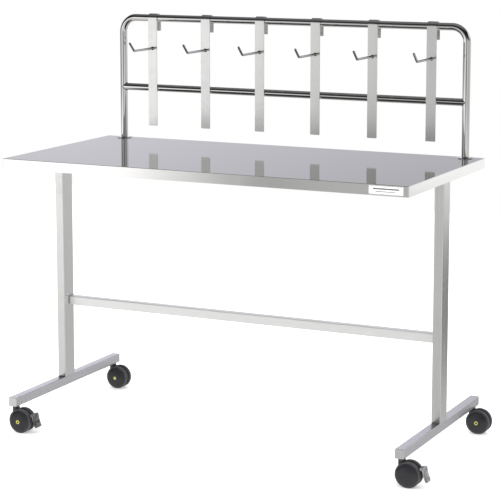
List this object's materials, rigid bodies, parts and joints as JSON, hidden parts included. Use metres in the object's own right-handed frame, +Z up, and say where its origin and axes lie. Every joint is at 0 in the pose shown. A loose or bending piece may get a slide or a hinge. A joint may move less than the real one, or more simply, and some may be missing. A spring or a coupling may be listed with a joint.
{
  "type": "instrument cart",
  "caption": "Flat steel instrument table on a wheeled frame with swivelling braked castors, and a tubular rail along the back that carries sliding hooks.",
  "frame": {"origin": "on the floor, under the middle of the table", "axes": "+X along the table's length to the right, +Y to the back where the rail is, +Z up"},
  "size_m": [1.4699, 0.702, 1.3491],
  "materials": {
    "mirror_steel": "mirror polished stainless steel",
    "satin_steel": "finely brushed stainless steel",
    "polished_tube": "polished stainless tube",
    "polished_rod": "polished stainless rod",
    "zinc_steel": "zinc plated",
    "castor_plastic": "black moulded nylon",
    "castor_wheel": "charcoal moulded wheel with a soft tread",
    "pedal_plastic": "grey moulded nylon",
    "plate": "plain white plate without lettering"
  },
  "bodies": {
    "frame": {"table_top": "mirror_steel", "name_plate": "plate", "stiffener_front": "satin_steel", "stiffener_rear": "satin_steel", "crossbar": "satin_steel", "head_plate_left": "satin_steel", "head_plate_right": "satin_steel", "leg_left": "satin_steel", "leg_right": "satin_steel", "foot_left": "satin_steel", "foot_right": "satin_steel", "foot_cap_left_front": "satin_steel", "foot_cap_left_rear": "satin_steel", "foot_cap_right_front": "satin_steel", "foot_cap_right_rear": "satin_steel", "rail_hoop": "polished_tube", "rail_mid": "polished_tube", "rosette_left": "polished_tube", "rosette_right": "polished_tube", "post_collar_left": "zinc_steel", "post_collar_right": "zinc_steel", "castor_stem_fl": "zinc_steel", "castor_stem_fr": "zinc_steel", "castor_stem_rl": "zinc_steel", "castor_stem_rr": "zinc_steel"},
    "swivel_fl": {"castor_housing_fl": "castor_plastic", "castor_axle_fl": "zinc_steel"},
    "wheel_fl_a": {"castor_wheel_fl_a": "castor_wheel"},
    "wheel_fl_b": {"castor_wheel_fl_b": "castor_wheel"},
    "swivel_fr": {"castor_housing_fr": "castor_plastic", "castor_axle_fr": "zinc_steel"},
    "wheel_fr_a": {"castor_wheel_fr_a": "castor_wheel"},
    "wheel_fr_b": {"castor_wheel_fr_b": "castor_wheel"},
    "swivel_rl": {"castor_housing_rl": "castor_plastic", "castor_axle_rl": "zinc_steel"},
    "wheel_rl_a": {"castor_wheel_rl_a": "castor_wheel"},
    "wheel_rl_b": {"castor_wheel_rl_b": "castor_wheel"},
    "swivel_rr": {"castor_housing_rr": "castor_plastic", "castor_axle_rr": "zinc_steel"},
    "wheel_rr_a": {"castor_wheel_rr_a": "castor_wheel"},
    "wheel_rr_b": {"castor_wheel_rr_b": "castor_wheel"},
    "pedal_fl": {"brake_pedal_fl": "pedal_plastic"},
    "pedal_fr": {"brake_pedal_fr": "pedal_plastic"},
    "hook_1": {"hook_strap_1": "satin_steel", "hook_rod_1": "polished_rod"},
    "hook_2": {"hook_strap_2": "satin_steel", "hook_rod_2": "polished_rod"},
    "hook_3": {"hook_strap_3": "satin_steel", "hook_rod_3": "polished_rod"},
    "hook_4": {"hook_strap_4": "satin_steel", "hook_rod_4": "polished_rod"},
    "hook_5": {"hook_strap_5": "satin_steel", "hook_rod_5": "polished_rod"},
    "hook_6": {"hook_strap_6": "satin_steel", "hook_rod_6": "polished_rod"}
  },
  "joints": [
    {"name": "swivel_fl", "type": "hinge", "parent": "frame", "child": "swivel_fl", "pos_m": [-0.68, -0.32, 0.088], "axis": [0, 0, 1], "continuous": true},
    {"name": "wheel_fl_a_spin", "type": "hinge", "parent": "swivel_fl", "child": "wheel_fl_a", "pos_m": [-0.656, -0.32, 0.04], "axis": [0, 1, 0], "continuous": true},
    {"name": "wheel_fl_b_spin", "type": "hinge", "parent": "swivel_fl", "child": "wheel_fl_b", "pos_m": [-0.656, -0.32, 0.04], "axis": [0, 1, 0], "continuous": true},
    {"name": "swivel_fr", "type": "hinge", "parent": "frame", "child": "swivel_fr", "pos_m": [0.68, -0.32, 0.088], "axis": [0, 0, 1], "continuous": true},
    {"name": "wheel_fr_a_spin", "type": "hinge", "parent": "swivel_fr", "child": "wheel_fr_a", "pos_m": [0.704, -0.32, 0.04], "axis": [0, 1, 0], "continuous": true},
    {"name": "wheel_fr_b_spin", "type": "hinge", "parent": "swivel_fr", "child": "wheel_fr_b", "pos_m": [0.704, -0.32, 0.04], "axis": [0, 1, 0], "continuous": true},
    {"name": "swivel_rl", "type": "hinge", "parent": "frame", "child": "swivel_rl", "pos_m": [-0.68, 0.32, 0.088], "axis": [0, 0, 1], "continuous": true},
    {"name": "wheel_rl_a_spin", "type": "hinge", "parent": "swivel_rl", "child": "wheel_rl_a", "pos_m": [-0.656, 0.32, 0.04], "axis": [0, 1, 0], "continuous": true},
    {"name": "wheel_rl_b_spin", "type": "hinge", "parent": "swivel_rl", "child": "wheel_rl_b", "pos_m": [-0.656, 0.32, 0.04], "axis": [0, 1, 0], "continuous": true},
    {"name": "swivel_rr", "type": "hinge", "parent": "frame", "child": "swivel_rr", "pos_m": [0.68, 0.32, 0.088], "axis": [0, 0, 1], "continuous": true},
    {"name": "wheel_rr_a_spin", "type": "hinge", "parent": "swivel_rr", "child": "wheel_rr_a", "pos_m": [0.704, 0.32, 0.04], "axis": [0, 1, 0], "continuous": true},
    {"name": "wheel_rr_b_spin", "type": "hinge", "parent": "swivel_rr", "child": "wheel_rr_b", "pos_m": [0.704, 0.32, 0.04], "axis": [0, 1, 0], "continuous": true},
    {"name": "pedal_fl_lift", "type": "hinge", "parent": "swivel_fl", "child": "pedal_fl", "pos_m": [-0.61442, -0.32, 0.06276], "axis": [0, -1, 0], "range_deg": [0, 30]},
    {"name": "pedal_fr_lift", "type": "hinge", "parent": "swivel_fr", "child": "pedal_fr", "pos_m": [0.74558, -0.32, 0.06276], "axis": [0, -1, 0], "range_deg": [0, 30]},
    {"name": "hook_1_slide", "type": "slide", "parent": "frame", "child": "hook_1", "axis": [1, 0, 0], "range_m": [-0.05, 0.08]},
    {"name": "hook_2_slide", "type": "slide", "parent": "frame", "child": "hook_2", "axis": [1, 0, 0], "range_m": [-0.08, 0.08]},
    {"name": "hook_3_slide", "type": "slide", "parent": "frame", "child": "hook_3", "axis": [1, 0, 0], "range_m": [-0.08, 0.08]},
    {"name": "hook_4_slide", "type": "slide", "parent": "frame", "child": "hook_4", "axis": [1, 0, 0], "range_m": [-0.08, 0.08]},
    {"name": "hook_5_slide", "type": "slide", "parent": "frame", "child": "hook_5", "axis": [1, 0, 0], "range_m": [-0.08, 0.08]},
    {"name": "hook_6_slide", "type": "slide", "parent": "frame", "child": "hook_6", "axis": [1, 0, 0], "range_m": [-0.08, 0.045]}
  ]
}
